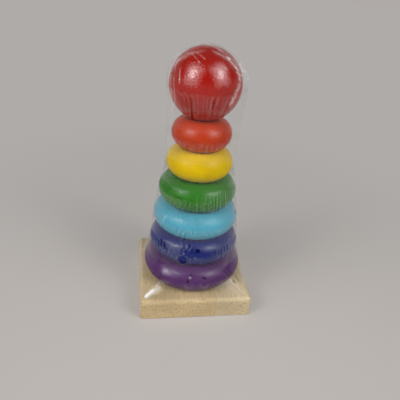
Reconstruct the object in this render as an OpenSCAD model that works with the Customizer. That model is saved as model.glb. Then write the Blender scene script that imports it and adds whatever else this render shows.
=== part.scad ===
// Wooden stacking tower: six round-sided rings and a ball on a post, which stands on
// a square base glued up from two boards, all of it wrapped in a clear shrink film.
// Millimetres. The origin is the middle of the base's underside, +Z is up, the front is -Y.

/* [Base] */
// Side of the square base
base_side = 80; // [76:1:110]
// Thickness of the base
base_thick = 16; // [14:1:24]
// Rounding of the base's upright corners and top edges
base_round = 3; // [1.5:0.5:5]
// Bevel along the base's lower edges
base_bevel = 0.8; // [0.4:0.2:1.4]
// Distance of the glue line to the right of the base's middle
glue_line = 14.3; // [9:0.1:30]

/* [Post] */
// Diameter of the post
post_d = 12; // [10:0.5:14]
// Depth of the post's glued end in the base
post_seat = 12; // [8:0.5:13]
// Length of the post inside the ball
post_in_ball = 22; // [16:1:26]
// Rounding of the post's top edge
post_nose = 3; // [1:0.5:4.5]
// Bevel on the post's glued end
post_bevel = 0.8; // [0.4:0.2:1.4]
// Gap that the glue fills round the post's lower end
glue_gap = 0.05; // [0.02:0.01:0.2]

/* [Rings] */
// Thickness of every ring
ring_thick = 20; // [17:1:24]
// Distance that a ring's round side stands out past its flat faces
ring_bulge = 8.5; // [5:0.5:8.5]
// Outer diameter of the purple ring
purple_d = 72; // [66:1:76]
// Outer diameter of the dark blue ring
dark_blue_d = 64; // [61:1:70]
// Outer diameter of the light blue ring
light_blue_d = 60; // [56:1:63]
// Outer diameter of the green ring
green_d = 54; // [47:1:58]
// Outer diameter of the yellow ring
yellow_d = 45; // [41:1:52]
// Outer diameter of the orange ring
orange_d = 40; // [36:1:44]
// Gap between the post and the bores of the rings and the ball
bore_gap = 1; // [0.3:0.1:1.5]
// Bevel at the mouths of the bores
bore_bevel = 0.8; // [0.4:0.2:1.4]

/* [Ball] */
// Diameter of the ball
ball_d = 46; // [42:1:56]
// Depth of the flat that the ball rests on
ball_flat = 2; // [1.6:0.2:4]
// Free depth of the ball's bore beyond the post's end
ball_bore_spare = 3; // [1:0.5:6]
// Angle of the drill's point at the end of the ball's bore
drill_point = 118; // [90:1:140]

/* [Film] */
// Thickness of the film
film_wall = 0.3; // [0.2:0.05:0.6]
// Gap between the film and the pieces that it wraps
film_gap = 0.7; // [0.6:0.1:1.5]
// Height of the film's lower edge above the ground
film_hem = 0.5; // [0.4:0.1:3]

/* [Hidden] */
$fn = 96;

// The rings from the bottom up
ring_ds = [purple_d, dark_blue_d, light_blue_d, green_d, yellow_d, orange_d];
function ring_foot(place) = base_thick + place * ring_thick;
function ring_middle(place) = ring_foot(place) + ring_thick / 2;

// Radius of the arc of a ring's round side, which bulges by ring_bulge over the thickness
side_arc_r = (pow(ring_bulge, 2) + pow(ring_thick / 2, 2)) / (2 * ring_bulge);

// Post and bores
bore_r = post_d / 2 + bore_gap;
stack_top = ring_foot(len(ring_ds));
post_foot = base_thick - post_seat;
post_length = stack_top + post_in_ball - post_foot;
ball_bore_depth = post_in_ball + ball_bore_spare;

// Height of the ball's centre
ball_middle = stack_top + ball_d / 2 - ball_flat;

// Distance from the base's middle planes to the centres of its rounded corners
corner_centre = base_side / 2 - base_round;

// Colours of the stained and of the bare wood
bare_wood = [0.80, 0.67, 0.48];
post_wood = [0.84, 0.73, 0.55];
purple = [0.34, 0.20, 0.42];
dark_blue = [0.13, 0.17, 0.42];
light_blue = [0.28, 0.62, 0.70];
green = [0.22, 0.48, 0.17];
yellow = [0.88, 0.74, 0.06];
orange = [0.80, 0.29, 0.13];
red = [0.68, 0.08, 0.06];
clear_film = [0.85, 0.92, 1.00, 0.25];

// Half section of a bar, from its axis out: bevelled at the foot and rounded at the top
module bar_section(half, height, round, bevel) {
    polygon([[0, 0], [half - bevel, 0], [half, bevel], [half, height - round], [0, height - round]]);
    translate([half - round, height - round])
        intersection() {
            circle(r = round);
            square(round);
        }
    if (half > round)
        translate([0, height - round])
            square([half - round, round]);
}

// The base's section along one direction, between the centres of its corners
module base_bar() {
    rotate([90, 0, 0])
        linear_extrude(height = 2 * corner_centre, center = true)
            for (side = [0, 1])
                mirror([side, 0])
                    bar_section(base_side / 2, base_thick, base_round, base_bevel);
}

module base_blank() {
    base_bar();
    rotate(90) base_bar();
    for (x = [-corner_centre, corner_centre], y = [-corner_centre, corner_centre])
        translate([x, y, 0])
            rotate_extrude()
                bar_section(base_round, base_thick, base_round, base_bevel);
}

// The part of the base between two upright planes, where its boards are glued
module base_board(left, right) {
    intersection() {
        base_blank();
        translate([left, -base_side / 2, 0])
            cube([right - left, base_side, base_thick]);
    }
}

module base_board_wide() {
    color(bare_wood)
        difference() {
            base_board(-base_side / 2, glue_line);
            translate([0, 0, post_foot])
                cylinder(h = post_seat + 1, r = post_d / 2 + glue_gap);
        }
}

module base_board_narrow() {
    color(bare_wood)
        base_board(glue_line, base_side / 2);
}

module post() {
    color(post_wood)
        translate([0, 0, post_foot])
            rotate_extrude()
                bar_section(post_d / 2, post_length, post_nose, post_bevel);
}

// Section of the bevel at a bore's mouth, to cut away
module mouth_cut(height) {
    translate([bore_r, height])
        rotate(45)
            square(bore_bevel * sqrt(2), center = true);
}

module ring_section(outer_r) {
    flat_r = outer_r - ring_bulge;
    difference() {
        union() {
            translate([bore_r, 0])
                square([flat_r - bore_r, ring_thick]);
            intersection() {
                translate([outer_r - side_arc_r, ring_thick / 2])
                    circle(r = side_arc_r);
                translate([flat_r, 0])
                    square([ring_bulge, ring_thick]);
            }
        }
        mouth_cut(0);
        mouth_cut(ring_thick);
    }
}

module ring(place, colour) {
    color(colour)
        translate([0, 0, ring_foot(place)])
            rotate_extrude()
                ring_section(ring_ds[place] / 2);
}

module ring_purple() { ring(0, purple); }
module ring_dark_blue() { ring(1, dark_blue); }
module ring_light_blue() { ring(2, light_blue); }
module ring_green() { ring(3, green); }
module ring_yellow() { ring(4, yellow); }
module ring_orange() { ring(5, orange); }

// Half section of the ball over its flat: the flat, the blind bore and the bore's drilled end
module ball_section() {
    bore_end = ball_bore_depth + bore_r / tan(drill_point / 2);
    difference() {
        intersection() {
            translate([0, ball_middle - stack_top])
                circle(r = ball_d / 2);
            square([ball_d / 2, ball_d - ball_flat]);
        }
        polygon([[0, 0], [bore_r, 0], [bore_r, ball_bore_depth], [0, bore_end]]);
        mouth_cut(0);
    }
}

module ball() {
    color(red)
        translate([0, 0, stack_top])
            rotate_extrude()
                ball_section();
}

// The film is a thin skin from the base's sides to the top of the ball. In each upright
// plane through the post it is the line that a tight film takes: up the side of the base,
// round its top edge, straight to the purple ring, from ring to ring, and over the ball.
// No part of it is narrower than what is above it, so it lifts off in one piece.

// Steps of the search for the places where the tight film leaves the base and meets the ring
film_step = 3;
search_rounds = 4;
edge_arcs = 4;
cap_arcs = 6;

// Directions round the post in which the film's skin has points, with three on each corner
side_steps = [0:9:36];
corner_steps = [for (turn = [0, 45, 90])
    atan2(corner_centre + (base_round + film_gap) * sin(turn),
          corner_centre + (base_round + film_gap) * cos(turn))];
eighth = [for (a = side_steps) a];
quarter = concat(eighth, corner_steps, [for (i = [len(eighth) - 1:-1:1]) 90 - eighth[i]]);
directions = [for (turn = [0:90:270], a = quarter) turn + a];

// Distance from the post's axis to the base's outline, whose corners have radius r
function outline_at(direction, r) =
    let (a = abs((direction + 45) % 90 - 45), c = corner_centre)
    (c + r) * tan(a) <= c
        ? (c + r) / cos(a)
        : c * (cos(a) + sin(a)) + sqrt(pow(r, 2) - pow(c, 2) * (1 - sin(2 * a)));

// Radius of the widest piece from a place in the stack up, so that the film never narrows
function widest_from(place) =
    max(concat([for (i = [place:1:len(ring_ds) - 1]) ring_ds[i] / 2], [ball_d / 2]));

// Points [distance, height] on the base's top edge and on the purple ring's side, with the
// film's gap added, at an angle above level
function edge_point(direction, gap, angle) =
    [outline_at(direction, (base_round + gap) * cos(angle)),
     base_thick - base_round + (base_round + gap) * sin(angle)];
function side_point(gap, angle) =
    [widest_from(0) - side_arc_r + (side_arc_r + gap) * cos(angle),
     ring_middle(0) + (side_arc_r + gap) * sin(angle)];

// Angle of the line from p to q
function slope(p, q) = atan2(q.y - p.y, q.x - p.x);

// The angle on the base's edge, or on the ring's side, where a tight line from p touches it
function edge_touch(direction, gap, p) =
    let (angles = [0:film_step:90],
         slopes = [for (a = angles) slope(p, edge_point(direction, gap, a))])
    film_step * search(max(slopes), slopes)[0];
function side_touch(gap, p) =
    let (next_r = widest_from(1) + gap,
         slopes = [for (a = [0:film_step:90]) if (side_point(gap, a).x >= next_r)
             slope(p, side_point(gap, a))])
    film_step * search(min(slopes), slopes)[0];

// Both angles, found by going back and forth between the two curves
function touches(direction, gap, side_angle = 0, rounds = search_rounds) =
    let (edge_angle = edge_touch(direction, gap, side_point(gap, side_angle)),
         next_angle = side_touch(gap, edge_point(direction, gap, edge_angle)))
    rounds == 0 ? [edge_angle, side_angle] : touches(direction, gap, next_angle, rounds - 1);

// The film's line in one upright plane, from its hem to just below the top of the ball
function film_line(direction, gap) =
    let (touch = touches(direction, gap))
    concat(
        [[outline_at(direction, base_round + gap), film_hem]],
        [for (i = [0:edge_arcs]) edge_point(direction, gap, touch[0] * i / edge_arcs)],
        [side_point(gap, touch[1])],
        [for (place = [1:len(ring_ds) - 1]) [widest_from(place) + gap, ring_middle(place)]],
        [for (i = [0:cap_arcs - 1])
            [(ball_d / 2 + gap) * cos(90 * i / cap_arcs),
             ball_middle + (ball_d / 2 + gap) * sin(90 * i / cap_arcs)]]);

// All points of one side of the skin, line after line, and its top point at the end
function skin_points(gap) = concat(
    [for (d = directions) for (p = film_line(d, gap)) [p.x * cos(d), p.x * sin(d), p.y]],
    [[0, 0, ball_middle + ball_d / 2 + gap]]);

// Triangles of one side of the skin: two in each cell, and a fan round the top point
function skin_faces(first, lines, rows) =
    [for (i = [0:lines - 1])
        let (left = first + i * rows, right = first + (i + 1) % lines * rows)
        each concat(
            [for (j = [0:rows - 2]) each
                [[left + j, left + j + 1, right + j], [right + j, left + j + 1, right + j + 1]]],
            [[left + rows - 1, first + lines * rows, right + rows - 1]])];

module shrink_film() {
    lines = len(directions);
    rows = len(film_line(0, film_gap));
    inner = skin_points(film_gap);
    outer = skin_points(film_gap + film_wall);
    inner_faces = [for (f = skin_faces(0, lines, rows)) [f[2], f[1], f[0]]];
    outer_faces = skin_faces(len(inner), lines, rows);
    hem_faces = [for (i = [0:lines - 1])
        let (a = i * rows, b = (i + 1) % lines * rows, n = len(inner))
        each [[a, n + a, b], [b, n + a, n + b]]];
    color(clear_film)
        polyhedron(points = concat(inner, outer), faces = concat(inner_faces, outer_faces, hem_faces));
}

base_board_wide();
base_board_narrow();
post();
ring_purple();
ring_dark_blue();
ring_light_blue();
ring_green();
ring_yellow();
ring_orange();
ball();
shrink_film();
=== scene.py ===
"""Looks of the wooden stacking tower: painted rings and ball, bare wood and clear shrink film."""
import math

import bpy
import numpy as np
from mathutils import Matrix, Vector
from mathutils.kdtree import KDTree


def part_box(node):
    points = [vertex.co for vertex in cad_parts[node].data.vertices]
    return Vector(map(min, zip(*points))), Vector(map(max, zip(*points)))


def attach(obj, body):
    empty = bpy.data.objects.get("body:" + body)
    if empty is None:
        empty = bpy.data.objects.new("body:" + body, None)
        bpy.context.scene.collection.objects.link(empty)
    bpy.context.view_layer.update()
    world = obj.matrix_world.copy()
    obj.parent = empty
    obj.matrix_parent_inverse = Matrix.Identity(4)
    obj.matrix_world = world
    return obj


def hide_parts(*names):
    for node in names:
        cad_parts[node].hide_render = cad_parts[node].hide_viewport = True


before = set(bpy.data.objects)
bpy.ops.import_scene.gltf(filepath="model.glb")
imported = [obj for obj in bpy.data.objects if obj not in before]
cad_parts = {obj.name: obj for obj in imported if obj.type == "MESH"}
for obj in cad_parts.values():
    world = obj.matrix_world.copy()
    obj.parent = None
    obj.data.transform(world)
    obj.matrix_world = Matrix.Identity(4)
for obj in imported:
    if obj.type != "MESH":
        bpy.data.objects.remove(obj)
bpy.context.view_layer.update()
scene = bpy.context.scene
MM = 0.001

# Camera, as fitted to the photograph: pixels for the focal length, degrees and metres for the rest
FOCAL_PX = 404.8
IMAGE_PX = 400
SENSOR_MM = 36
AIM_HEIGHT = 0.080
CAMERA_DISTANCE = 0.2884
CAMERA_ELEVATION = 27.87
CAMERA_AZIMUTH = -9.44
CAMERA_ROLL = 5.01
AIM_RIGHT = 0.539
AIM_UP = -0.889

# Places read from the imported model
RINGS = ["ring_purple", "ring_dark_blue", "ring_light_blue", "ring_green", "ring_yellow", "ring_orange"]
RING_BOXES = [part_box(name) for name in RINGS]
RING_RADII = [high.x for low, high in RING_BOXES]
RING_MIDDLES = [(low.z + high.z) / 2 for low, high in RING_BOXES]
RING_HALF = (RING_BOXES[0][1].z - RING_BOXES[0][0].z) / 2
BALL_LOW, BALL_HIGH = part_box("ball")
BALL_RADIUS = (BALL_HIGH.y - BALL_LOW.y) / 2
BALL_MIDDLE = BALL_HIGH.z - BALL_RADIUS
BASE_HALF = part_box("base_board_wide")[1].y
BASE_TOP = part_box("base_board_wide")[1].z

# Rounding of the base's edges and bulge of the rings' sides, as in the solids
BASE_ROUND = 3 * MM
RING_BULGE = 8.5 * MM

# The paint ends at a ragged line inside the bores: its least radius and how far it wanders
PAINT_EDGE = 6.3 * MM
PAINT_WANDER = 1.6 * MM

# Yearly bands of the bare wood: their width and how far they wander
YEAR_WIDTH = 3.2 * MM
YEAR_WANDER = 6 * MM


def srgb(red, green, blue):
    """Linear colour of three sRGB values from 0 to 255."""
    def linear(value):
        share = value / 255
        return share / 12.92 if share <= 0.04045 else ((share + 0.055) / 1.055) ** 2.4
    return (linear(red), linear(green), linear(blue), 1.0)


RUBBERWOOD = srgb(206, 182, 136)
RUBBERWOOD_PALE = srgb(210, 190, 150)
BIRCH = srgb(226, 204, 164)

# Colour, roughness, specular level and strength of the paint's unevenness for each painted piece
PAINTS = {
    "ring_purple": (srgb(82, 42, 98), 0.32, 0.31, 0.40),
    "ring_dark_blue": (srgb(20, 34, 106), 0.24, 0.30, 0.50),
    "ring_light_blue": (srgb(68, 158, 181), 0.28, 0.31, 1.00),
    "ring_green": (srgb(42, 114, 24), 0.28, 0.22, 1.00),
    "ring_yellow": (srgb(212, 178, 0), 0.34, 0.16, 0.60),
    "ring_orange": (srgb(179, 53, 14), 0.28, 0.36, 0.90),
    "ball": (srgb(160, 17, 2), 0.13, 0.78, 1.00),
}

# The floor, in metres: it goes from paper to a plain grey away from the toy, by the two shares
FLOOR_GREY = srgb(202, 197, 193)
BACKDROP_GREY = srgb(175, 171, 168)
FRONT_GREY = srgb(174, 169, 165)
FLOOR_RADIUS = 8
FLOOR_FADE = (0.08, 0.40)
FLOOR_PLAIN = (0.40, 1.0)
FLOOR_DEPTHS = (-0.14, 0.12)

# The studio at the horizon, above it and overhead, and how far its levels rise behind
HORIZON_GREY = srgb(175, 170, 167)
WALL_GREY = srgb(78, 76, 76)
CEILING_GREY = srgb(58, 57, 58)
RISE_BEHIND = 0.45


def add(tree, kind, inputs=None, **settings):
    """A new node with its settings, and its inputs: values, or sockets or nodes to link."""
    made = tree.nodes.new("ShaderNode" + kind)
    for key, value in settings.items():
        setattr(made, key, value)
    for key, value in (inputs or {}).items():
        if isinstance(value, bpy.types.Node):
            value = value.outputs[0]
        if isinstance(value, bpy.types.NodeSocket):
            tree.links.new(value, made.inputs[key])
        else:
            made.inputs[key].default_value = value
    return made


def new_material(name):
    material = bpy.data.materials.new(name)
    material.use_nodes = True
    material.node_tree.nodes.clear()
    return material, material.node_tree


def place_texture(tree, stretch=(1, 1, 1), shift=(0, 0, 0)):
    """Texture coordinates in metres of the row frame, stretched and shifted."""
    coords = add(tree, "TexCoord").outputs["Object"]
    return add(tree, "Mapping", {"Vector": coords, "Scale": stretch, "Location": shift})


def noise(tree, vector, scale, detail=3, roughness=0.5):
    return add(tree, "TexNoise", {"Vector": vector, "Scale": scale, "Detail": detail,
                                  "Roughness": roughness}).outputs["Fac"]


def remap(tree, value, start, end, low=0.0, high=1.0, kind="LINEAR"):
    """A number between low and high as value goes from start to end."""
    return add(tree, "MapRange", {"Value": value, "From Min": start, "From Max": end,
                                  "To Min": low, "To Max": high}, interpolation_type=kind)


def ramp(tree, value, low, high, start, end):
    """A colour between low and high as value goes from start to end."""
    return blend_colours(tree, remap(tree, value, start, end, kind="SMOOTHSTEP"), low, high)


def streaked(tree, tone, dark, pattern, most, start, end):
    """A tone that goes a share of the way to dark, up to most, as pattern goes from start to end."""
    return blend_colours(tree, ramp(tree, pattern, grey(0), grey(most), start, end), tone, dark)


def blend_colours(tree, share, low, high):
    return add(tree, "Mix", {0: share, 6: low, 7: high}, data_type="RGBA").outputs[2]


def maths(tree, operation, *values):
    return add(tree, "Math", dict(enumerate(values)), operation=operation)


def split(tree, vector):
    """The three coordinates of a vector."""
    return add(tree, "SeparateXYZ", {"Vector": vector}).outputs


def relief(tree, height, strength, distance):
    """Normals of a surface that is uneven by the height."""
    return add(tree, "Bump", {"Height": height, "Strength": strength, "Distance": distance})


def grey(value):
    return (value, value, value, 1)


def scaled(colour, factor):
    return tuple(min(1.0, c * factor) for c in colour[:3]) + (1.0,)


def paint(name, colour, seed, roughness, gloss, peel_strength):
    """Gloss paint on turned wood: slight depth changes along the grain, and bare wood in the bore."""
    material, tree = new_material(name)
    along = place_texture(tree, (1, 0.12, 1), (seed * 0.37, seed * 0.11, 0))
    cloud = noise(tree, place_texture(tree, shift=(0, 0, seed * 0.21)), 45, 4)
    grain = noise(tree, along, 900, 5, 0.6)
    body = ramp(tree, cloud, scaled(colour, 0.90), scaled(colour, 1.08), 0.3, 0.7)
    body = streaked(tree, body, scaled(colour, 0.80), grain, 0.25, 0.45, 0.75)
    place = split(tree, place_texture(tree))
    radius = maths(tree, "SQRT", maths(tree, "ADD", maths(tree, "MULTIPLY", place[0], place[0]),
                                       maths(tree, "MULTIPLY", place[1], place[1])))
    ragged = maths(tree, "MULTIPLY_ADD", cloud, PAINT_WANDER, PAINT_EDGE)
    inside = maths(tree, "MULTIPLY", maths(tree, "LESS_THAN", radius, ragged),
                   maths(tree, "LESS_THAN", place[2], BALL_MIDDLE + BALL_RADIUS / 2))
    bare = ramp(tree, grain, scaled(BIRCH, 0.72), BIRCH, 0.35, 0.65)
    surface = blend_colours(tree, inside, body, bare)
    peel = noise(tree, place_texture(tree), 1000, 2)
    height = maths(tree, "ADD", peel, maths(tree, "MULTIPLY", grain, 0.3))
    normal = relief(tree, height, peel_strength, 0.15 * MM)
    shine = remap(tree, cloud, 0.3, 0.7, roughness - 0.04, roughness + 0.04)
    shader = add(tree, "BsdfPrincipled", {"Base Color": surface, "Roughness": shine,
                                          "Normal": normal, "Specular IOR Level": gloss})
    add(tree, "OutputMaterial", {"Surface": shader})
    return material


def wood(name, colour, along_axis, seed, pith=(0, 0), pore_share=0.60):
    """Bare sanded wood whose fibres run along one axis, with pores and faint yearly bands."""
    material, tree = new_material(name)
    along = [1, 1, 1]
    along[along_axis] = 0.09
    shift = (seed * 0.13, seed * 0.29, seed * 0.17)
    cloud = noise(tree, place_texture(tree, [1 if a == 1 else 0.3 for a in along], shift), 60, 4)
    fibre = noise(tree, place_texture(tree, along, shift), 1400, 4, 0.6)
    pores = noise(tree, place_texture(tree, along, [2 * s for s in shift]), 1300, 1, 0.4)
    place = split(tree, place_texture(tree))
    across = [place[i] for i in range(3) if i != along_axis]
    square = [maths(tree, "POWER", maths(tree, "ADD", value, -centre), 2.0)
              for value, centre in zip(across, pith)]
    wander = maths(tree, "MULTIPLY", cloud, YEAR_WANDER)
    distance = maths(tree, "ADD", maths(tree, "SQRT", maths(tree, "ADD", *square)), wander)
    bands = maths(tree, "SINE", maths(tree, "MULTIPLY", distance, 2 * math.pi / YEAR_WIDTH))
    tone = ramp(tree, cloud, scaled(colour, 0.88), scaled(colour, 1.06), 0.3, 0.7)
    tone = streaked(tree, tone, scaled(colour, 0.86), bands, 0.30, 0.0, 1.0)
    tone = streaked(tree, tone, scaled(colour, 0.84), fibre, 0.5, 0.45, 0.75)
    dark = tuple(c * f for c, f in zip(colour[:3], (0.52, 0.44, 0.32))) + (1.0,)
    in_pore = remap(tree, pores, pore_share, pore_share + 0.06)
    flat = split(tree, add(tree, "NewGeometry").outputs["Normal"])
    depth = maths(tree, "MULTIPLY_ADD", maths(tree, "ABSOLUTE", flat[2]), -0.45, 0.85)
    tone = blend_colours(tree, maths(tree, "MULTIPLY", in_pore, depth), tone, dark)
    height = maths(tree, "SUBTRACT", maths(tree, "MULTIPLY", fibre, 0.4), in_pore)
    shader = add(tree, "BsdfPrincipled", {"Base Color": tone, "Roughness": 0.62,
                                          "Normal": relief(tree, height, 0.5, 0.12 * MM)})
    add(tree, "OutputMaterial", {"Surface": shader})
    return material


# Share of the light that the film mirrors when it is seen straight on, and what a glance adds
MIRROR_SHARE = 0.038
GLANCE_SHARE = 0.80


def clear_film(name):
    """Thin clear film that mirrors at a glance: the haze attribute makes it milky and carries painted
    highlights, and the attribute for where it sticks makes it wet, and above 0.9 darkens it as a painted
    shade.
    """
    material, tree = new_material(name)
    fine = noise(tree, place_texture(tree, (1, 1, 0.25)), 900, 3, 0.55)
    normal = relief(tree, fine, 0.15, 0.10 * MM)
    facing = add(tree, "LayerWeight", {"Blend": 0.5}).outputs["Facing"]
    share = maths(tree, "MULTIPLY_ADD", maths(tree, "POWER", facing, 4.0), GLANCE_SHARE, MIRROR_SHARE)
    stuck_and_shade = add(tree, "Attribute", attribute_name="stuck_and_shade").outputs["Fac"]
    share = maths(tree, "MULTIPLY", share, maths(tree, "MAXIMUM", 0.0, maths(tree, "SUBTRACT", 1.0, stuck_and_shade)))
    # Painted shade: above 0.9 the stick darkens what shows through the film, for the dark folds and the
    # pressed lines.
    transmission_and_shade = ramp(tree, stuck_and_shade, grey(0.985), grey(0.35), 0.9, 3.0)
    clear = add(tree, "BsdfTransparent", {"Color": transmission_and_shade})
    mirror = add(tree, "BsdfAnisotropic", {"Color": grey(1), "Roughness": 0.24, "Normal": normal})
    glossy = add(tree, "MixShader", {0: share, 1: clear, 2: mirror})
    milk_and_highlight = add(tree, "BsdfDiffuse", {"Color": (0.90, 0.89, 0.87, 1)})
    haze = add(tree, "Attribute", attribute_name="haze").outputs["Fac"]
    surface = add(tree, "MixShader", {0: haze, 1: glossy, 2: milk_and_highlight})
    add(tree, "OutputMaterial", {"Surface": surface})
    return material


def dress(node, material):
    """Gives a CAD node its material."""
    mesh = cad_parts[node].data
    mesh.materials.clear()
    mesh.materials.append(material)


def dress_wooden_pieces():
    for seed, (node, (colour, *finish)) in enumerate(PAINTS.items(), start=1):
        dress(node, paint(f"{node}_paint", colour, seed, *finish))
    dress("base_board_wide", wood("rubberwood", RUBBERWOOD, 1, 1, pith=(-0.012, -0.030)))
    dress("base_board_narrow", wood("rubberwood_pale", RUBBERWOOD_PALE, 1, 4, pith=(0.050, 0.040)))
    dress("post", wood("birch", BIRCH, 2, 6, pith=(0.001, 0.001), pore_share=0.72))


# The film. Its columns go round the post and its rows go up from the hem. In each upright
# plane it is the line of a tight film, and sag, looseness, pleats and creases are added to that.
COLUMNS = 720
FILM_GAP = 0.30 * MM
FILM_HEM = 0.5 * MM
SIDE_ROWS = 12
EDGE_ROWS = 8
TENT_ROWS = 36
SPAN_ROWS = 36
BALL_SPAN_ROWS = 44
CAP_ROWS = 100
PATH_STEPS = 24
SEED = 11

# Share of the way from a straight span to one that lies on the ring below it, and how far from
# the purple ring's widest line it starts and is full
SAG = 0.35
SAG_START = -2 * MM
SAG_FULL = 8 * MM

# Haze of the plain film and at its top, and the least gap between the film and the wood
PLAIN_HAZE = 0.004
TOP_HAZE = 0.01
LEAST_GAP = 0.10 * MM

# Lifts in mm of the fine ripples, of what the rings add to them, and of the broad ripples
FINE_LIFT = 0.010
RING_LIFT = 0.012
BROAD_LIFT = 0.030

# Where the film stands off: azimuth and height of the middle, reach in degrees and mm, lift in mm
LOOSE = [
    (-43, 19, 8, 3.2, 2.2),
    (170, 177, 70, 6, 0.8),
    (-88, 170, 26, 8, 0.7),
    (72, 156, 30, 20, 2.4),
    (66, 122, 34, 26, 1.1),
    (-80, 164, 34, 16, 0.8),
    (150, 150, 50, 25, 0.9),
    (-150, 60, 60, 30, 0.6),
]

# Pleats on each ring from the dark blue one up, and on the ball: how many go round, how deep they
# are, haze of their crests as a painted highlight, half the width of a crest in mm, how far above
# the widest line they start and below it they end in mm, how much they fan out downwards, in
# degrees per degree from FAN_CENTRE, fading out between the two angles of FAN_FADE, and where
# they are stronger, as azimuth, reach and added depth
FAN_CENTRE = -12
FAN_FADE = (55, 110)
PLEATS = [
    (100, 0.35, 0.11, 0.4, (2, 8), (-5, 2), 0.05, [(-54, 12, 0.6), (-12, 9, 0.3), (36, 14, 0.5)]),
    (90, 0.55, 0.07, 0.45, (6, 10), (-8, -1), 0.4, [(-12, 20, 0.3), (60, 20, 0.3)]),
    (80, 0.28, 0.11, 0.4, (2, 8), (-10, -6), -0.02, [(4, 12, 0.4), (32, 24, 0.8)]),
    (76, 0.45, 0.11, 0.4, (-3, 0), (-9, -5), -0.05, [(-30, 20, 0.2), (-10, 8, 0.3), (40, 12, 0.2)]),
    (72, 0.5, 0.07, 0.5, (-2, 2), (-10, -7), 0, [(14, 22, 0.3)]),
    (70, 0.5, 0.04, 0.6, (-3, 1), (-19, -10), -0.35, [(-38, 14, 0.4), (10, 30, 0.2)]),
]

# How far from the widest line the pleats may reach, lift of a crest and sink of a trough in mm,
# and how much a trough sticks to the paint, with the depth at which it sticks most; where the
# stick passes 0.9 it also darkens the trough as a painted shade
PLEAT_REACH = 26 * MM
CREST_LIFT = 0.035
TROUGH_SINK = 0.02
TROUGH_STICK = 1.6
TROUGH_MOST = 0.8

# Single creases: azimuth and height of the points that each runs through, half its width and its
# lift in mm; and the haze of a crease, reached at the lift CREASE_FULL
CREASE_HAZE = 0.10
CREASE_FULL = 0.3 * MM
CREASES = [
    ([(-56, 176.6), (-38, 175.2), (-23, 172.3)], 0.3, 0.06),
    ([(-42, 177), (-28, 176.4), (-14, 174.3)], 0.3, 0.06),
    ([(-55, 169), (-52, 164), (-50, 158)], 0.5, 0.4),
    ([(-60, 158.5), (-57, 153), (-56, 146)], 0.4, 0.35),
    ([(-66, 174), (-76, 167), (-80, 158), (-80, 148)], 0.4, 0.3),
    ([(-84, 176), (-90, 169), (-92, 160), (-92, 150)], 0.5, 0.3),
    ([(-100, 178), (-70, 176.5), (-56, 173)], 0.4, 0.2),
    ([(-120, 177.5), (-104, 172), (-96, 164)], 0.6, 0.35),
    ([(-78, 150), (-79, 132), (-77, 112)], 0.4, 0.3),
    ([(-70, 142), (-71, 124), (-72, 108)], 0.4, 0.25),
    ([(150, 177.5), (110, 176), (84, 172), (74, 164)], 0.6, 0.7),
    ([(66, 172), (70, 165), (72, 156), (70, 146)], 0.4, 0.6),
    ([(52, 169.5), (60, 168), (66, 165)], 0.35, 0.6),
    ([(50, 166), (58, 165), (64, 161)], 0.35, 0.6),
    ([(54, 163), (61, 162.5), (66, 158)], 0.35, 0.5),
    ([(62, 171), (58, 166.5), (61, 160.5)], 0.35, 0.7),
    ([(21, 171.2), (30, 169.7)], 0.45, 0.25),
    ([(38, 175.8), (46, 173.6)], 0.4, 0.4),
    ([(59, 167.3), (48, 162.6), (39, 155), (32, 150), (33, 141)], 0.6, 0.8),
    ([(-81, 169), (-70, 160), (-64, 153), (-63, 146), (-66, 134)], 0.5, 0.55),
    ([(-51, 73.5), (-52, 68)], 0.5, 0.4),
    ([(-25, 59), (-19, 49.5)], 0.4, 0.3),
    ([(-16, 58), (-18, 50)], 0.4, 0.3),
    ([(-9, 58.5), (-15, 49.5)], 0.4, 0.3),
    ([(43, 16.2), (41, 20), (38, 25)], 0.5, 0.1),
    ([(47, 16.2), (46, 20), (44, 25)], 0.5, 0.08),
    ([(133, 16), (130, 24)], 0.8, 0.6),
    ([(-136, 16), (-133, 24)], 0.8, 0.6),
]

# The open vent hole and holes that have closed on the ring: azimuth, height and radius
VENTS = [(-19.8, 44.6, 3.45)]
CRUMPLED_VENTS = [(-10.7, 27.4, 2.8), (7.3, 27.4, 2.8)]

# Patches where the film sticks to the paint, and where a strength over 0.9 darkens it as a painted
# shade: azimuth and height, half width and half height in mm, strength
STUCK_AND_SHADED = [
    (42, 30.5, 2.2, 3, 1),
    (-52, 30.5, 3, 8, 1.2),
    (-43, 26.5, 1.1, 4.5, 1.5),
    (-60, 23, 2, 4, 1),
    (44, 20, 4, 6, 0.75),
    (-52, 171.5, 8, 4, 0.7),
    (-2.5, 52.4, 1.6, 1.9, 2.6),
]

# Bands where the film clings to a ring or to the ball: from and to in mm above its widest line,
# softness of the lower edge in mm, and where pleats break the band, as azimuth and reach
BANDS = [
    (1, 5, 1.5, []),
    (0, 6, 2, [(-46, 24), (42, 26)]),
    (2, 5, 1.5, [(-70, 20), (62, 26)]),
    (1.5, 7, 0.4, [(36, 36)]),
    (-3, 6, 1, []),
    (0, 7, 0.6, []),
    (-1.3, 12, 0.4, []),
]

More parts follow.
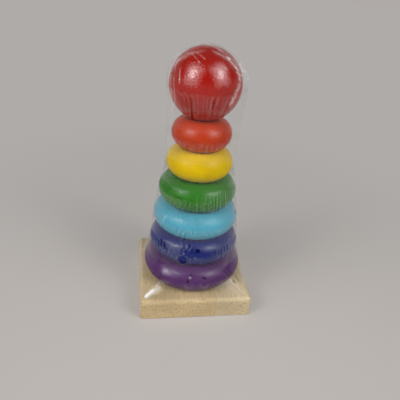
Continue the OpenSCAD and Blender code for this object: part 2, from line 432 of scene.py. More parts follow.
# Where the film is milky with tiny folds: azimuth and height, reach in degrees and mm, haze
MILKY = [
    (-44, 49.5, 16, 5, 0.03),
    (-26, 46.5, 16, 5, 0.03),
    (-2, 46.5, 14, 4, 0.02),
    (38, 50, 16, 7, 0.035),
    (0, 69, 75, 8, 0.05),
    (0, 61, 70, 4, 0.01),
    (26, 84, 26, 9, 0.03),
    (-40, 84, 16, 5, 0.04),
    (-60, 90, 16, 8, 0.04),
    (66, 90, 18, 9, 0.09),
    (66, 70, 14, 9, 0.05),
    (-68, 68, 12, 9, 0.03),
    (0, 119, 60, 5, 0.026),
    (-66, 126, 20, 9, 0.08),
    (60, 126, 20, 9, 0.07),
    (40, 101, 30, 5, 0.02),
    (-66, 106, 14, 8, 0.04),
    (-88, 164, 16, 14, 0.085),
    (-90, 172, 14, 5, 0.06),
    (84, 160, 18, 18, 0.07),
    (60, 170, 14, 6, 0.06),
    (170, 177, 90, 5, 0.07),
    (-12, 150, 60, 5, 0.006),
]

# Painted highlights: bright smears of milky haze along the folds, where the light catches them, and two
# broad milky bands along the ball's rim: points, half width in mm at the first and the last, haze
HIGHLIGHT_AND_MILK_SMEARS = [
    ([(-43.8, 16.8), (-43, 18.6), (-42, 20.4), (-41, 22.6)], 0.8, 1.3, 0.6),
    ([(-44, 16.8), (-42.4, 19.4), (-40.2, 21.8), (-37.6, 25.2)], 1, 3.2, 0.32),
    ([(42, 21.6), (42.3, 19.4), (42.5, 17.6), (42.6, 16.2)], 0.5, 0.5, 0.12),
    ([(44.6, 23.4), (44, 21), (43.4, 18.4)], 0.9, 0.9, 0.05),
    ([(-78, 157), (-76, 165), (-70, 171), (-50, 176.5), (-10, 179)], 1.5, 1.2, 0.12),
    ([(0, 178.6), (27, 176.4), (38, 174.3), (46, 170.8), (52, 167)], 1.2, 1.5, 0.14),
    ([(-59.4, 176.4), (-35.2, 174.4), (-22, 171.9)], 0.25, 0.3, 0.12),
    ([(-28, 173.3), (-21.5, 171.8)], 0.3, 0.3, 0.14),
    ([(-45.5, 177), (-26.5, 175.8), (-14, 174.2)], 0.25, 0.3, 0.12),
    ([(-19, 175), (-13.6, 174.1)], 0.3, 0.3, 0.16),
    ([(-56.2, 168.4), (-53.5, 165.8), (-51.6, 164.1), (-48.6, 159)], 0.4, 0.4, 0.26),
    ([(-50, 177.4), (-64, 175), (-69.7, 171.5), (-68.6, 167.9), (-63.3, 164)], 0.4, 0.4, 0.12),
    ([(-65, 165), (-61, 159.5), (-59.2, 155.2), (-57.8, 149.1), (-57, 145)], 0.4, 0.4, 0.16),
    ([(-71.1, 164.5), (-69, 159), (-68.3, 153.5), (-68, 147)], 0.4, 0.4, 0.16),
    ([(-6, 179), (27.4, 176.9), (37.5, 175.7), (41, 174.2)], 0.3, 0.4, 0.14),
    ([(38, 175.3), (41.6, 173.6), (45.5, 171.2)], 0.5, 0.6, 0.22),
    ([(44, 172), (49, 169.8), (54, 166.6)], 0.5, 0.5, 0.18),
    ([(42.9, 171.2), (47.9, 168.7), (51, 168)], 0.5, 0.6, 0.24),
    ([(42.6, 168.2), (49, 166.9), (55.4, 164.8)], 0.5, 0.6, 0.26),
    ([(49, 167.4), (48, 165.5), (46.6, 162.6)], 0.9, 0.9, 0.28),
    ([(46, 163.6), (42.5, 160.2), (37.9, 157), (33, 152.4), (30.3, 148.5)], 0.9, 1.3, 0.16),
    ([(57.5, 170), (59, 167), (60.5, 163), (60, 159)], 0.45, 0.45, 0.16),
    ([(62.5, 172), (64.5, 168), (66, 163), (66, 156)], 0.6, 0.6, 0.12),
    ([(-52, 53.4), (-43, 54.3), (-33, 54.8)], 0.9, 1, 0.08),
]
HIGHLIGHT_AND_MILK_SMEARS += [([(azimuth, 94), (azimuth, 87), (azimuth - 0.5, 78.5)], 0.45, 0.5, 0.03 + azimuth / 2000)
           for azimuth in (-8.3, -1.5, 4, 11.2, 15.2, 21, 26.8, 31.6, 36, 40.5)]
HIGHLIGHT_AND_MILK_SMEARS += [([(azimuth - 1, 53.5), (azimuth + 1, 45.6)], 0.4, 0.45, 0.07)
           for azimuth in (23.9, 28.4, 33.4, 38.6, 44)]

# Dark lines where the film is pressed to the paint, darkened as a painted shade of its folds:
# azimuth and height of the points, half width in mm, strength
PRESSED_SHADE_LINES = [
    ([(-18.9, 55.7), (-24.3, 49.3)], 0.6, 2.4),
    ([(-17, 53.8), (-20.6, 50)], 0.35, 1.4),
    ([(-16.6, 53), (-17.7, 49.6)], 0.6, 2.2),
    ([(-12.5, 57.2), (-13, 53.6)], 0.6, 2.2),
    ([(-8.6, 54.7), (-10.6, 48.9)], 0.5, 2.2),
    ([(-7, 51.5), (-7.4, 48)], 0.4, 1.6),
    ([(-2.3, 50.6), (-2.5, 46.8)], 0.45, 1.8),
    ([(-68, 53.4), (-67, 48)], 0.5, 1.8),
    ([(-63, 53.4), (-62, 48.2)], 0.45, 1.8),
    ([(-58.8, 51.8), (-56.6, 45.8)], 0.6, 2.8),
    ([(-53.9, 54.6), (-52.4, 47.6)], 0.7, 3),
    ([(-48.7, 54), (-46, 47.6)], 0.75, 3),
    ([(-46.5, 50.4), (-43.2, 48.6)], 0.6, 1.8),
    ([(-44, 89.4), (-36, 88.8), (-25, 88.9)], 0.45, 2.2),
    ([(-50, 153), (-47, 150), (-43, 147)], 0.45, 1.9),
    ([(-46.2, 153.8), (-42.5, 150.5), (-38, 146.6)], 0.45, 2.3),
    ([(-41.5, 152), (-38, 149.5), (-32.5, 145.8)], 0.45, 2.2),
    ([(-36, 153.6), (-33, 150.5), (-29.5, 147)], 0.4, 1.7),
    ([(42.9, 169.6), (44.5, 167.9)], 0.5, 2.2),
    ([(54.5, 170.6), (57.4, 168.3)], 0.5, 2.6),
    ([(55.5, 166.6), (56.3, 164.3)], 0.5, 2.6),
    ([(49.5, 165.4), (50.4, 162.8)], 0.5, 2.2),
    ([(51, 161.8), (46, 158.6), (42, 154.4)], 0.6, 2),
    ([(-8, 34.8), (-8.8, 32.8)], 0.7, 3),
    ([(-11, 31.2), (-11.3, 30), (-11.7, 27.2)], 0.7, 3),
    ([(4.6, 33.2), (7.6, 31.5), (10.4, 30.1)], 0.75, 3),
    ([(4.3, 29.9), (4.8, 28.5)], 0.6, 2.2),
    ([(8.2, 27.2), (8.6, 25.6)], 0.6, 2.2),
    ([(33.2, 33.2), (37, 30.4), (40.6, 27.4)], 0.6, 2.2),
    ([(41, 33.6), (43, 30.8), (44.4, 27.6)], 0.9, 2),
    ([(40, 26.4), (42, 24)], 0.8, 1.8),
]
PRESSED_SHADE_LINES += [([(azimuth - 1, 52.8), (azimuth + 1, 46.2)], 0.5, 2.1)
            for azimuth in (21.8, 26.1, 30.8, 36, 41.2)]
PRESSED_SHADE_LINES += [([(azimuth, 93), (azimuth, 80)], 0.4, 1.6)
            for azimuth in (13.2, 18.2, 24, 29.2, 33.8, 38.2)]

# Painted glints of milky haze where the film is dented: azimuth and height, half width and half
# height in mm, haze
PAINTED_GLINTS = [
    (-9.1, 32, 0.7, 0.7, 0.35),
    (-19.2, 49.6, 0.5, 0.5, 0.16),
    (-4.8, 46.9, 0.6, 0.6, 0.2),
    (-52.8, 71.6, 0.5, 0.9, 0.3),
    (-53.4, 69.2, 0.5, 1.2, 0.22),
]

# The weld that closes the bag, down from the top on either side: azimuth, height and fin width
WELD_RIGHT = [(20, 180.2, 1), (32, 178, 1.2), (47, 174.6, 1.3), (55, 171, 1.6), (60, 166.5, 2.4),
              (64, 160, 1.6), (67, 150, 1), (68, 130, 0.8), (69, 100, 0.7), (70, 66, 0.7),
              (71, 36, 0.7), (72, 16.5, 0.8), (72, 4, 0.8)]
WELD_LEFT = [(20, 180.2, 1), (-78, 178.6, 1.1), (-84, 173, 1.2), (-90, 168, 1.2), (-98, 158, 0.9),
             (-104, 140, 0.6), (-106, 100, 0.6), (-108, 66, 0.6), (-110, 36, 0.6), (-110, 16.5, 0.8),
             (-110, 4, 0.8)]

# Radius and haze of the beads on the vent's edge and on the weld; step along the weld, and the
# strands of its fin with their haze at the foot and at the rim
RIM_RADIUS, RIM_HAZE = 0.10 * MM, 0.08
BEAD_RADIUS, BEAD_HAZE = 0.14 * MM, 0.10
WELD_STEP = 0.45 * MM
FIN_STRANDS = 5
FIN_HAZE = (0.03, 0.12)


def base_outline(direction, radius):
    """Distance from the post's axis to the base's outline, whose corners have that radius."""
    centre = BASE_HALF - BASE_ROUND
    a = abs((direction + math.pi / 4) % (math.pi / 2) - math.pi / 4)
    if (centre + radius) * math.tan(a) <= centre:
        return (centre + radius) / math.cos(a)
    return centre * (math.cos(a) + math.sin(a)) + math.sqrt(radius**2 - centre**2 * (1 - math.sin(2 * a)))


SIDE_ARC = (RING_BULGE**2 + RING_HALF**2) / (2 * RING_BULGE)


def widest_from(place):
    return max(RING_RADII[place:] + [BALL_RADIUS])


def edge_point(direction, angle):
    radius = BASE_ROUND + FILM_GAP
    return (base_outline(direction, radius * math.cos(angle)),
            BASE_TOP - BASE_ROUND + radius * math.sin(angle))


def side_point(angle):
    radius = SIDE_ARC + FILM_GAP
    return (RING_RADII[0] - SIDE_ARC + radius * math.cos(angle),
            RING_MIDDLES[0] + radius * math.sin(angle))


def slope(p, q):
    return math.atan2(q[1] - p[1], q[0] - p[0])


def touches(direction):
    """Angles on the base's edge and on the purple ring's side that a tight film touches."""
    angles = [math.radians(a) for a in np.arange(0, 90, 1.0)]
    on_side = [a for a in angles if side_point(a)[0] >= widest_from(1) + FILM_GAP]
    side = 0.0
    for _ in range(4):
        edge = max(angles, key=lambda a: slope(side_point(side), edge_point(direction, a)))
        side = min(on_side, key=lambda a: slope(edge_point(direction, edge), side_point(a)))
    return edge, side


def tight_line(direction):
    """Stations [distance, height] of the film in one plane, and the rows up to each of them."""
    edge, side = touches(direction)
    stations = [(base_outline(direction, BASE_ROUND + FILM_GAP), FILM_HEM)]
    rows = []
    for i in range(EDGE_ROWS + 1):
        stations.append(edge_point(direction, edge * i / EDGE_ROWS))
        rows.append(1 if i else SIDE_ROWS)
    stations.append(side_point(side))
    rows.append(TENT_ROWS)
    for place in range(1, len(RINGS)):
        stations.append((widest_from(place) + FILM_GAP, RING_MIDDLES[place]))
        rows.append(SPAN_ROWS)
    for i in range(CAP_ROWS):
        turn = math.pi / 2 * i / CAP_ROWS
        stations.append(((BALL_RADIUS + FILM_GAP) * math.cos(turn),
                         BALL_MIDDLE + (BALL_RADIUS + FILM_GAP) * math.sin(turn)))
        rows.append(1 if i else BALL_SPAN_ROWS)
    return stations, rows


def smoothstep(low, high, value):
    share = np.clip((value - low) / (high - low), 0, 1)
    return share * share * (3 - 2 * share)


def tapered(share):
    """1 along a line and 0 at either end of it."""
    return smoothstep(0, 0.2, share) * (1 - smoothstep(0.8, 1, share))


def piece_radius(heights):
    """Radius of the ring or the ball at each height."""
    radius = np.zeros_like(heights)
    for outer, middle in zip(RING_RADII, RING_MIDDLES):
        across = np.clip(SIDE_ARC**2 - (heights - middle) ** 2, 0, None)
        there = np.abs(heights - middle) <= RING_HALF
        radius = np.where(there, np.maximum(radius, outer - SIDE_ARC + np.sqrt(across)), radius)
    ball = np.sqrt(np.clip(BALL_RADIUS**2 - (heights - BALL_MIDDLE) ** 2, 0, None))
    return np.where(heights > RING_MIDDLES[-1] + RING_HALF, ball, radius)


def sagged(distance, height):
    """The film drawn in between the rings, but never narrower than what is above it."""
    levels = np.linspace(RING_MIDDLES[0], BALL_MIDDLE, 800)
    closest = np.maximum.accumulate(piece_radius(levels)[::-1])[::-1] + FILM_GAP
    lowest = np.interp(height, levels, closest)
    share = SAG * smoothstep(RING_MIDDLES[0] + SAG_START, RING_MIDDLES[0] + SAG_FULL, height)
    return np.where(height < BALL_MIDDLE, distance + share * np.minimum(0, lowest - distance), distance)


def film_grid():
    """Distance and height of every film point, as arrays of rows by columns."""
    lines = []
    for column in range(COLUMNS):
        stations, rows = tight_line(2 * math.pi * column / COLUMNS)
        line = [stations[0]]
        for start, end, count in zip(stations, stations[1:], rows):
            for i in range(1, count + 1):
                share = i / count
                line.append((start[0] + (end[0] - start[0]) * share,
                             start[1] + (end[1] - start[1]) * share))
        lines.append(line)
    grid = np.array(lines).transpose(1, 0, 2)
    return sagged(grid[:, :, 0], grid[:, :, 1]), grid[:, :, 1]


def waves(random, along, up, lengths, share):
    """Sum of ripples with wave lengths from a range, whose crests run within share of upright."""
    total = np.zeros_like(along)
    count = 24
    for _ in range(count):
        length, tilt = random.uniform(*lengths), random.normal(0, share)
        phase = random.uniform(0, 2 * math.pi)
        total += np.sin(2 * math.pi * (along * math.cos(tilt) + up * math.sin(tilt)) / length + phase)
    return total / math.sqrt(count)


def apart(azimuths, azimuth):
    """Degrees between azimuths, the short way round."""
    return (azimuths - azimuth + 180) % 360 - 180


class Film:
    """The film's points by row and column, with their azimuths in degrees and their haze."""

    def __init__(self):
        self.random = np.random.default_rng(SEED)
        distance, height = film_grid()
        turns = np.tile(2 * math.pi * np.arange(COLUMNS) / COLUMNS, (distance.shape[0], 1))
        self.azimuths = np.degrees(turns) + 90
        outward = np.stack([np.cos(turns), np.sin(turns)], axis=2)
        run, rise = np.gradient(distance, axis=0), np.gradient(height, axis=0)
        length = np.hypot(run, rise)
        self.normals = np.concatenate([outward * (rise / length)[:, :, None],
                                       (-run / length)[:, :, None]], axis=2)
        self.points = np.concatenate([outward * distance[:, :, None], height[:, :, None]], axis=2)
        self.smooth = self.points.copy()
        self.height, self.distance = height, distance
        self.around = np.radians(self.azimuths) * distance
        self.lift = np.zeros_like(height)
        self.haze = np.full_like(height, PLAIN_HAZE)
        self.stuck_and_shade = np.zeros_like(height)
        self.gone = np.zeros(height.shape, bool)
        self.tree = None

    def place(self, azimuth, height_mm):
        """Point and normal of the film at an azimuth and a height."""
        column = int(round((azimuth - 90) / 360 * COLUMNS)) % COLUMNS
        row = int(np.argmin(np.abs(self.height[:, column] - height_mm * MM)))
        return self.points[row, column], self.normals[row, column]

    def patch(self, azimuth, height, reach, tall):
        """A soft patch: 1 at an azimuth and a height, and less by degrees and mm from there."""
        near = (apart(self.azimuths, azimuth) / reach) ** 2 + ((self.height / MM - height) / tall) ** 2
        return np.exp(-near)

    def beside(self, azimuth):
        """Distance in mm round the film from an azimuth."""
        return np.radians(apart(self.azimuths, azimuth)) * self.distance / MM

    def ripples(self, shortest, longest, share):
        """Waves round the film, with lengths in mm."""
        return waves(self.random, self.around, self.height, (shortest * MM, longest * MM), share)

    def add_loose(self):
        for azimuth, height, reach, tall, lift in LOOSE:
            self.lift += lift * MM * self.patch(azimuth, height, reach, tall)

    def add_pleats(self):
        """Pleats across the widest line of a ring or of the ball: milky crests as a painted highlight, by
        troughs darkened as a painted shade.
        """
        for middle, pleats in zip(RING_MIDDLES[1:] + [BALL_MIDDLE], PLEATS):
            count, base, milk_and_highlight, wide, starts, ends, fan, deeps = pleats
            rows = np.flatnonzero(np.abs(self.height[:, 0] - middle) < PLEAT_REACH)
            height, distance = self.height[rows], self.distance[rows]
            for k in range(count):
                azimuth = 360 * (k + self.random.uniform(-0.35, 0.35)) / count - 180
                depth = base + sum(more * math.exp(-(apart(azimuth, at) / reach) ** 2)
                                   for at, reach, more in deeps)
                depth *= self.random.uniform(0.55, 1.15)
                width = wide * self.random.uniform(0.75, 1.25) * MM
                top = middle + self.random.uniform(*starts) * MM
                end = middle + self.random.uniform(*ends) * MM
                share = np.clip((top - height) / (top - end), 0, 1)
                aside = apart(azimuth, FAN_CENTRE)
                fanned = fan * aside * (1 - smoothstep(*FAN_FADE, abs(aside)))
                lean = fanned + self.random.normal(0, 1.2)
                fade = smoothstep(0, 0.12, share) * (1 - smoothstep(0.7, 1, share))
                across = np.radians(apart(self.azimuths[rows], azimuth + lean * share)) * distance
                crest = depth * fade * np.exp(-(across / width) ** 2)
                trough = depth * fade * np.exp(-(across / width - 2) ** 2)
                # Painted highlight as haze on the crests, and painted shade from the troughs' stick, beside
                # the real lift of the film.
                self.haze[rows] += milk_and_highlight * crest
                self.stuck_and_shade[rows] += TROUGH_STICK * np.minimum(trough, TROUGH_MOST)
                self.lift[rows] += MM * (CREST_LIFT * crest - TROUGH_SINK * trough)

    def nearest(self, point):
        """The place on the film next to a point, and the film's normal there."""
        if self.tree is None:
            flat = self.points.reshape(-1, 3)
            self.tree = KDTree(len(flat))
            for i, at in enumerate(flat.tolist()):
                self.tree.insert(at, i)
            self.tree.balance()
        i = self.tree.find(point)[1]
        at, normal = self.points.reshape(-1, 3)[i], self.normals.reshape(-1, 3)[i]
        return point + normal * ((at - point) @ normal), normal

    def path(self, marks):
        """Closely spaced points of the smooth film from mark to mark."""
        found = []
        for (azimuth_a, height_a), (azimuth_b, height_b) in zip(marks, marks[1:]):
            for share in np.linspace(0, 1, PATH_STEPS)[:-1]:
                azimuth = azimuth_a + apart(azimuth_b, azimuth_a) * share
                column = (azimuth - 90) / 360 * COLUMNS
                height = (height_a + (height_b - height_a) * share) * MM
                line = self.distance[:, int(round(column)) % COLUMNS]
                heights = self.height[:, int(round(column)) % COLUMNS]
                distance, turn = np.interp(height, heights, line), math.radians(azimuth - 90)
                found.append((distance * math.cos(turn), distance * math.sin(turn), height))
        return smoothed(np.array(found), 9)

    def along(self, marks, reach):
        """Film points within reach mm of a line of marks, their gaps to it and the share of the way."""
        line = self.path(marks)
        middle = (line.max(axis=0) + line.min(axis=0)) / 2
        span = (np.abs(self.smooth - middle) < np.ptp(line, axis=0) / 2 + reach * MM).all(axis=2)
        gaps = np.linalg.norm(self.smooth[span][:, None, :] - line[None], axis=2)
        return np.nonzero(span), gaps.min(axis=1), gaps.argmin(axis=1) / (len(line) - 1)

    def add_creases(self):
        for marks, width, lift in CREASES:
            where, gaps, share = self.along(marks, 6)
            crest = lift * MM * tapered(share) * np.exp(-(gaps / (width * MM)) ** 1.5)
            self.lift[where] += crest
            self.haze[where] += CREASE_HAZE * crest / CREASE_FULL

    def add_fine_wrinkles(self):
        along = np.radians(self.azimuths) * np.clip(self.distance, 6 * MM, None)
        steps = np.diff(self.smooth, axis=0, prepend=self.smooth[:1])
        arc = np.cumsum(np.linalg.norm(steps, axis=2), axis=0)
        on_rings = smoothstep(RING_MIDDLES[0] - 8 * MM, RING_MIDDLES[0], self.height)
        on_rings = on_rings * (1 - smoothstep(BALL_MIDDLE - 20 * MM, BALL_MIDDLE - 12 * MM, self.height))
        fine = waves(self.random, along, arc, (0.9 * MM, 2.6 * MM), 0.6)
        self.lift += (FINE_LIFT + RING_LIFT * on_rings) * MM * fine
        self.lift += BROAD_LIFT * MM * waves(self.random, along, arc, (4 * MM, 9 * MM), 0.9)

    def settle(self):
        """Moves the points by the lifts and keeps them off the wooden pieces."""
        self.points = self.smooth + self.normals * self.lift[:, :, None]
        radius = np.linalg.norm(self.points[:, :, :2], axis=2)
        least = piece_radius(self.points[:, :, 2]) + LEAST_GAP
        grow = np.where(radius > 1e-6, np.maximum(1, least / np.maximum(radius, 1e-6)), 1)
        self.points[:, :, :2] *= grow[:, :, None]

    def inside_of(self, centre, normal, radius):
        """Points within a radius of a centre, across its normal, and how far out they lie."""
        offset = self.points - centre
        flat = offset - (offset @ normal)[:, :, None] * normal
        out = np.linalg.norm(flat, axis=2)
        near = np.linalg.norm(offset, axis=2) < 2 * radius + 2 * MM
        return near & (out < radius), out, flat

    def cut_vent(self, azimuth, height, radius):
        """Takes a round hole out of the film, whose edge follows the circle."""
        centre, normal = self.place(azimuth, height)
        centre, normal = centre.copy(), normal.copy()
        inside, out, flat = self.inside_of(centre, normal, radius)
        outside = np.zeros_like(inside)
        for rows in (-1, 0, 1):
            for columns in (-1, 0, 1):
                outside |= ~np.roll(inside, (rows, columns), axis=(0, 1))
        edge = inside & outside
        self.points[edge] += flat[edge] * (radius / np.maximum(out[edge], 1e-6) - 1)[:, None]
        self.gone |= inside

    def add_crumple(self, azimuth, height, radius):
        """A vent hole that has closed: a low ring with a knot of small folds inside it."""
        centre, normal = self.place(azimuth, height)
        inside, out, flat = self.inside_of(centre, normal, radius * MM * 1.6)
        ring = np.exp(-((out / MM - radius) / 0.32) ** 2)
        knots = self.ripples(0.9, 1.9, 1.5)
        knot = np.clip(knots, -0.3, 1.5) * np.exp(-((out / MM) / (0.75 * radius)) ** 4)
        self.lift += np.where(inside, (0.15 * ring + 0.10 * knot) * MM, 0)
        self.haze += np.where(inside, 0.09 * ring + 0.04 * np.clip(knot, 0, 1), 0)

    def add_stuck(self):
        """Patches where the film lies wet on the paint and mirrors nothing of its own; a strength over 0.9
        also darkens it as a painted shade.
        """
        ragged = 0.35 * self.ripples(2, 6, 1.5)
        for middle, (low, high, soft, breaks) in zip(RING_MIDDLES + [BALL_MIDDLE], BANDS):
            above = (self.height - middle) / MM - ragged
            band = smoothstep(low - soft, low + soft, above) * (1 - smoothstep(high - 2, high + 2, above))
            for azimuth, reach in breaks:
                band = band * (1 - np.exp(-(apart(self.azimuths, azimuth) / reach) ** 4))
            self.stuck_and_shade = np.maximum(self.stuck_and_shade, band)
        for azimuth, height, wide, tall, strength in STUCK_AND_SHADED:
            gap = np.hypot(self.beside(azimuth) / wide, (self.height / MM - height) / tall) + ragged
            self.stuck_and_shade = np.maximum(self.stuck_and_shade, strength * (1 - smoothstep(0.8, 1.1, gap)))
        # Pressed lines: a strength over 0.9 darkens them as a painted shade.
        for marks, width, strength in PRESSED_SHADE_LINES:
            where, gaps, share = self.along(marks, 3)
            mark = strength * tapered(share) * np.exp(-(gaps / (width * MM)) ** 2)
            self.stuck_and_shade[where] = np.maximum(self.stuck_and_shade[where], mark)
        self.stuck_and_shade = np.clip(self.stuck_and_shade, 0, 3)
        self.haze *= 1 - 0.85 * np.clip(self.stuck_and_shade, 0, 1)

    def add_milk(self):
        cloud = np.clip(1 + 0.8 * self.ripples(1.5, 4, 0.6), 0, 2.5)
        for azimuth, height, reach, tall, haze in MILKY:
            self.haze += haze * self.patch(azimuth, height, reach, tall) * cloud

    def add_painted_highlights(self):
        """Painted highlights: bright smears and dots of milky haze where the light catches the film, added
        over the paint below and the patches where it sticks.
        """
        broken = np.clip(1 + 0.45 * self.ripples(1, 4, 1.5), 0, 2)
        # Painted highlights: smears of milky haze for light caught along the folds; the two broad ones on
        # the ball's rim are milky film.
        for marks, start, end, haze in HIGHLIGHT_AND_MILK_SMEARS:
            where, gaps, share = self.along(marks, 7)
            width = (start + (end - start) * share) * MM
            line = tapered(share) * np.exp(-(gaps / width) ** 2)
            self.haze[where] += haze * line * (broken[where] if haze < 0.5 else 1)
        # Painted glints: spots of milky haze for the lamps caught in the film's dents.
        for azimuth, height, wide, tall, haze in PAINTED_GLINTS:
            spot = np.exp(-(self.beside(azimuth) / wide) ** 2 - ((self.height / MM - height) / tall) ** 2)
            self.haze += haze * spot
            self.stuck_and_shade *= 1 - spot
        self.haze = np.clip(self.haze, 0, 1)


def unit(vectors):
    return vectors / np.linalg.norm(vectors, axis=1)[:, None]


def tube(line, normals, radius, closed=False, sides=6):
    """Points and faces of a thin tube along a line."""
    line, normals = np.array(line), np.array(normals)
    ahead = np.roll(line, -1, axis=0) - np.roll(line, 1, axis=0)
    if not closed:
        ahead[0], ahead[-1] = line[1] - line[0], line[-1] - line[-2]
    ahead = unit(ahead)
    across = unit(np.cross(ahead, normals))
    up = np.cross(across, ahead)
    points, faces = [], []
    count = len(line)
    for i in range(count):
        for k in range(sides):
            turn = 2 * math.pi * k / sides
            points.append(line[i] + radius * (math.cos(turn) * across[i] + math.sin(turn) * up[i]))
    for i in range(count if closed else count - 1):
        j = (i + 1) % count
        for k in range(sides):
            n = (k + 1) % sides
            faces.append((i * sides + k, i * sides + n, j * sides + n, j * sides + k))
    if not closed:
        faces.append(tuple(range(sides - 1, -1, -1)))
        faces.append(tuple((count - 1) * sides + k for k in range(sides)))
    return points, faces


def film_piece(name, points, faces, haze, stuck_and_shade=None):
    """A piece of the film with its haze per point, riding on the film's body."""
    mesh = bpy.data.meshes.new(name)
    mesh.from_pydata([tuple(p) for p in points], [], faces)
    haze = np.broadcast_to(np.asarray(haze, np.float32), (len(points),))
    mesh.attributes.new("haze", "FLOAT", "POINT").data.foreach_set("value", np.ascontiguousarray(haze))
    stuck_and_shade = np.zeros(len(points), np.float32) if stuck_and_shade is None else stuck_and_shade.astype(np.float32)
    mesh.attributes.new("stuck_and_shade", "FLOAT", "POINT").data.foreach_set("value", stuck_and_shade)
    mesh.shade_smooth()
    mesh.update()
    piece = bpy.data.objects.new(name, mesh)
    scene.collection.objects.link(piece)
    mesh.materials.append(FILM_MATERIAL)
    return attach(piece, "film")


def build_skin(film):
    rows, columns = film.height.shape
    points = film.points.reshape(-1, 3).tolist()
    points.append((0, 0, BALL_MIDDLE + BALL_RADIUS + FILM_GAP))
    top = len(points) - 1
    faces = []
    gone_right = np.roll(film.gone, -1, axis=1)
    cut = film.gone[:-1] & gone_right[:-1] & gone_right[1:] & film.gone[1:]
    for row, column in np.argwhere(~cut).tolist():
        right = (column + 1) % columns
        faces.append((row * columns + column, row * columns + right,
                      (row + 1) * columns + right, (row + 1) * columns + column))
    last = (rows - 1) * columns
    faces += [(last + column, last + (column + 1) % columns, top) for column in range(columns)]
    haze = np.append(film.haze.ravel(), TOP_HAZE)
    skin = film_piece("film_skin", points, faces, haze, np.append(film.stuck_and_shade.ravel(), 0))
    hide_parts("shrink_film")


def build_vent_rims(film):
    """The thick rounded edges of the open vent holes."""
    for number, (azimuth, height, radius) in enumerate(VENTS):
        centre, normal = film.place(azimuth, height)
        side = np.cross(normal, (0, 0, 1))
        side /= np.linalg.norm(side)
        up = np.cross(side, normal)
        circle = [centre + radius * MM * (math.cos(t) * side + math.sin(t) * up)
                  for t in np.linspace(0, 2 * math.pi, 49)[:-1]]
        found = [film.nearest(point) for point in circle]
        points, faces = tube([p for p, n in found], [n for p, n in found], RIM_RADIUS, closed=True)
        film_piece(f"vent_rim_{number}", points, faces, RIM_HAZE)


def build_weld(film):
    """The weld round the bag: a bead on the film and the trimmed fin that stands on it."""
    marks = WELD_LEFT[::-1] + WELD_RIGHT[1:]
    ends = [film.place(azimuth, height)[0] for azimuth, height, width in marks]
    widths = [width for azimuth, height, width in marks]
    line, normals, fin = [], [], []
    for k in range(len(ends) - 1):
        count = max(2, int(np.linalg.norm(ends[k + 1] - ends[k]) / WELD_STEP))
        for i in range(count):
            share = i / count
            point, normal = film.nearest(ends[k] + (ends[k + 1] - ends[k]) * share)
            line.append(point)
            normals.append(normal)
            fin.append((widths[k] + (widths[k + 1] - widths[k]) * share) * MM)
    line, normals = smoothed(np.array(line), 9), unit(smoothed(np.array(normals), 15))
    across = np.cross(unit(np.gradient(line, axis=0)), normals)
    lean = smoothed(film.random.normal(0, 2.2, len(line)), 15)
    ripple = smoothed(film.random.normal(0, 1.0, len(line)), 4)
    points = []
    for k in range(FIN_STRANDS):
        share = k / (FIN_STRANDS - 1)
        bend = (0.35 + lean) * share + 0.35 * ripple * share**2
        out = np.array(fin) * share
        upright, aside = out * np.cos(bend), out * np.sin(bend)
        points.append(line + normals * upright[:, None] + across * aside[:, None])
    count = len(line)
    points = np.concatenate(points)
    faces = [(k * count + i, k * count + i + 1, (k + 1) * count + i + 1, (k + 1) * count + i)
             for k in range(FIN_STRANDS - 1) for i in range(count - 1)]
    haze = np.repeat(np.linspace(*FIN_HAZE, FIN_STRANDS), count)
    film_piece("weld_fin", points, faces, haze)
    bead_points, bead_faces = tube(line, normals, BEAD_RADIUS)
    film_piece("weld_bead", bead_points, bead_faces, BEAD_HAZE)


def smoothed(values, width):
    """Running mean along the first axis, with the ends held."""
    half = width // 2
    before, after = values[:1].repeat(half, axis=0), values[-1:].repeat(width - 1 - half, axis=0)
    padded = np.concatenate([before, values, after])
    total = np.cumsum(np.concatenate([np.zeros_like(padded[:1]), padded]), axis=0)
    return (total[width:] - total[:-width]) / width


def build_film():
    film = Film()
    film.add_loose()
    film.add_pleats()
    film.add_creases()
    film.add_fine_wrinkles()
    for vent in CRUMPLED_VENTS:
        film.add_crumple(*vent)
    film.add_milk()
    film.add_stuck()
    film.add_painted_highlights()
    film.settle()
    for azimuth, height, radius in VENTS:
        film.cut_vent(azimuth, height, radius * MM)
    build_skin(film)
    build_vent_rims(film)
    build_weld(film)


def make_floor():
    material, tree = new_material("floor_paper")
    cloud = noise(tree, place_texture(tree), 3, 3)
    tone = ramp(tree, cloud, scaled(FLOOR_GREY, 0.97), scaled(FLOOR_GREY, 1.02), 0.3, 0.7)
    paper = add(tree, "BsdfPrincipled", {"Base Color": tone, "Roughness": 0.7, "Specular IOR Level": 0.2})
    far_off = add(tree, "VectorMath", {0: place_texture(tree)}, operation="LENGTH")
    share = remap(tree, far_off.outputs["Value"], *FLOOR_FADE, *FLOOR_PLAIN, kind="SMOOTHSTEP")
    rays = add(tree, "LightPath").outputs
    seen = maths(tree, "ADD", rays["Is Camera Ray"], rays["Is Glossy Ray"])
    seen = maths(tree, "ADD", seen, rays["Is Transmission Ray"])
    seen.use_clamp = True
    depth = split(tree, place_texture(tree))[1]
    shade = ramp(tree, depth, FRONT_GREY, BACKDROP_GREY, *FLOOR_DEPTHS)
    plain = add(tree, "Emission", {"Color": shade, "Strength": 1.0})
    surface = add(tree, "MixShader", {0: maths(tree, "MULTIPLY", share, seen), 1: paper, 2: plain})
    add(tree, "OutputMaterial", {"Surface": surface})
    bpy.ops.mesh.primitive_circle_add(vertices=96, radius=FLOOR_RADIUS, fill_type="NGON")
    floor = bpy.context.object
    floor.name = "floor"
    floor.data.materials.append(material)


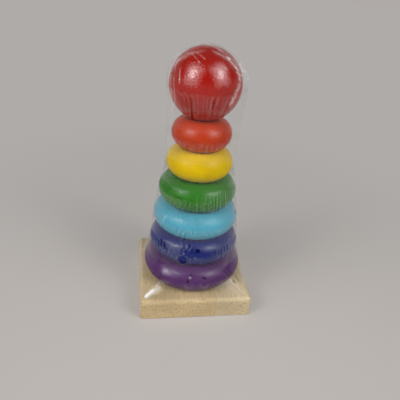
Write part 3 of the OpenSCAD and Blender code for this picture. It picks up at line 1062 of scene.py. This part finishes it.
# Lamps: direction from the ball in degrees (azimuth to the right of the front, and elevation),
# distance and size in metres, and radiance
LAMPS = [
    ("left_window", -57, 31, 0.90, 0.80, 0.95, 1.9),
    ("left_core", -59, 33, 0.88, 0.22, 0.30, 10.5),
    ("right_window", 45, 35, 0.90, 0.80, 0.95, 1.9),
    ("right_core", 45, 36, 0.88, 0.22, 0.30, 9.0),
]


def towards(azimuth, elevation):
    """Unit vector at an azimuth to the right of the front (-Y) and an elevation, in degrees."""
    a, e = math.radians(azimuth), math.radians(elevation)
    return Vector((math.sin(a) * math.cos(e), -math.cos(a) * math.cos(e), math.sin(e)))


def make_lamps():
    for name, azimuth, elevation, distance, width, height, radiance in LAMPS:
        data = bpy.data.lights.new(name, "AREA")
        data.shape = "RECTANGLE"
        data.size, data.size_y = width, height
        data.energy = radiance * math.pi * width * height
        lamp = bpy.data.objects.new(name, data)
        lamp.location = Vector((0, 0, BALL_MIDDLE)) + towards(azimuth, elevation) * distance
        lamp.rotation_euler = (-towards(azimuth, elevation)).to_track_quat("-Z", "Y").to_euler()
        lamp.visible_camera = False
        scene.collection.objects.link(lamp)


def make_world():
    """A plain studio: pale at the level of the horizon, higher up behind, and darker overhead."""
    world = bpy.data.worlds.new("studio")
    scene.world = world
    world.use_nodes = True
    tree = world.node_tree
    tree.nodes.clear()
    place = split(tree, add(tree, "TexCoord").outputs["Generated"])
    up = maths(tree, "MULTIPLY_ADD", maths(tree, "MAXIMUM", place[1], 0.0), -RISE_BEHIND, place[2])
    low = ramp(tree, up, HORIZON_GREY, WALL_GREY, 0.0, 0.33)
    sky = ramp(tree, up, low, CEILING_GREY, 0.30, 0.8)
    background = add(tree, "Background", {"Color": sky, "Strength": 1.0})
    add(tree, "OutputWorld", {"Surface": background})


def make_camera():
    """The photograph's view: aimed at the middle of the tower, turned a little off it and rolled."""
    back = towards(CAMERA_AZIMUTH, CAMERA_ELEVATION)
    place = Vector((0, 0, AIM_HEIGHT)) + back * CAMERA_DISTANCE
    right = (-back).cross(Vector((0, 0, 1))).normalized()
    up = right.cross(-back)
    yaw, pitch = math.radians(AIM_RIGHT), math.radians(AIM_UP)
    look = -back * math.cos(yaw) * math.cos(pitch) + right * math.sin(yaw) + up * math.sin(pitch)
    look.normalize()
    right = look.cross(Vector((0, 0, 1))).normalized()
    up = right.cross(look)
    roll = math.radians(CAMERA_ROLL)
    turned_right = right * math.cos(roll) + up * math.sin(roll)
    turned_up = up * math.cos(roll) - right * math.sin(roll)
    data = bpy.data.cameras.new("camera")
    data.sensor_width = SENSOR_MM
    data.lens = FOCAL_PX / IMAGE_PX * SENSOR_MM
    data.clip_start, data.clip_end = 0.01, 50
    camera = bpy.data.objects.new("camera", data)
    axes = Matrix((turned_right, turned_up, -look)).transposed().to_4x4()
    camera.matrix_world = Matrix.Translation(place) @ axes
    scene.collection.objects.link(camera)
    scene.camera = camera


make_camera()
dress_wooden_pieces()
FILM_MATERIAL = clear_film("clear_film")
build_film()
make_floor()
make_lamps()
make_world()
scene.view_settings.view_transform = "Standard"
